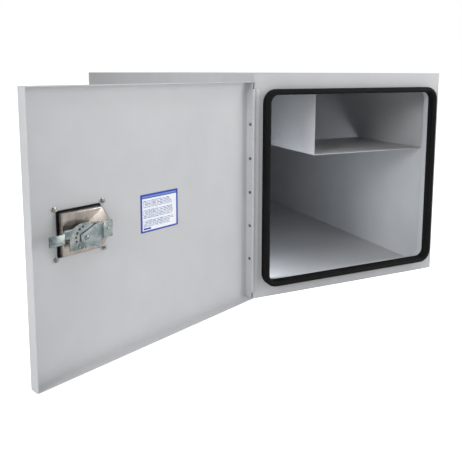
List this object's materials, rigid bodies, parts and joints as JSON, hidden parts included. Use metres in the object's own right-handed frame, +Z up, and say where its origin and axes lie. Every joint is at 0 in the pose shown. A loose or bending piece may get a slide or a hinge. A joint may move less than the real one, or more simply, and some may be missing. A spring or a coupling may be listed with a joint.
{
  "type": "battery box",
  "caption": "Deep white sheet-steel battery box with one hinged door in its end face, black bulb seal, open corner shelf and cam latch; door drawn open.",
  "frame": {"origin": "centre of the four base bolt holes, on the underside of the floor panel", "axes": "+Z up; the door end faces -Y and the length of the box runs along Y; +X is the right side for someone facing the door end, and the door hangs on the -X side"},
  "size_m": [1.1922, 2.4287, 0.592],
  "materials": {
    "white_coat": "semi-gloss powder coat over sheet steel",
    "seal_rubber": "matte black extruded rubber",
    "gasket_rubber": "matte black die-cut rubber",
    "steel": "bright turned steel",
    "rivet_steel": "bare steel, slightly dulled",
    "stainless": "brushed stainless steel with a warm tone",
    "zinc_plate": "clear zinc plate with a faint blue cast",
    "bronze": "plain sintered bronze",
    "lock_brass": "turned brass, satin",
    "label_film": "white film label with blue printing"
  },
  "bodies": {
    "enclosure": {"left_side_panel": "white_coat", "right_side_panel": "white_coat", "top_panel": "white_coat", "floor_panel": "white_coat", "rear_panel": "white_coat", "front_header": "white_coat", "front_sill": "white_coat", "left_jamb": "white_coat", "right_jamb": "white_coat", "opening_rim": "white_coat", "door_seal": "seal_rubber", "seam_welds": "white_coat", "shelf_plate": "white_coat", "shelf_divider": "white_coat", "hinge_leaf_body": "white_coat", "hinge_pin": "steel"},
    "door": {"door_pan": "white_coat", "hinge_leaf_door": "white_coat", "hinge_rivets": "rivet_steel", "care_label": "label_film", "latch_pan": "stainless", "latch_gasket": "gasket_rubber", "latch_screws": "steel", "latch_nuts": "steel", "pivot_bracket": "zinc_plate", "bracket_rivet": "steel", "shaft_bush": "bronze"},
    "latch_handle": {"handle_shaft": "steel", "t_handle": "stainless", "shaft_collar": "zinc_plate", "cam_lever": "zinc_plate", "shaft_cap": "steel"},
    "lock_core": {"lock_cylinder": "lock_brass"}
  },
  "joints": [
    {"name": "door_hinge", "type": "hinge", "parent": "enclosure", "child": "door", "pos_m": [-0.309, -1.0835, 0.287], "axis": [0, 0, 1], "range_deg": [0, 157]},
    {"name": "handle_turn", "type": "hinge", "parent": "door", "child": "latch_handle", "pos_m": [-0.77801, -1.28638, 0.283], "axis": [-0.3907, 0.9205, 0], "range_deg": [0, 90]},
    {"name": "key_turn", "type": "hinge", "parent": "latch_handle", "child": "lock_core", "pos_m": [-0.78719, -1.26475, 0.283], "axis": [-0.3907, 0.9205, 0], "range_deg": [0, 90]}
  ]
}
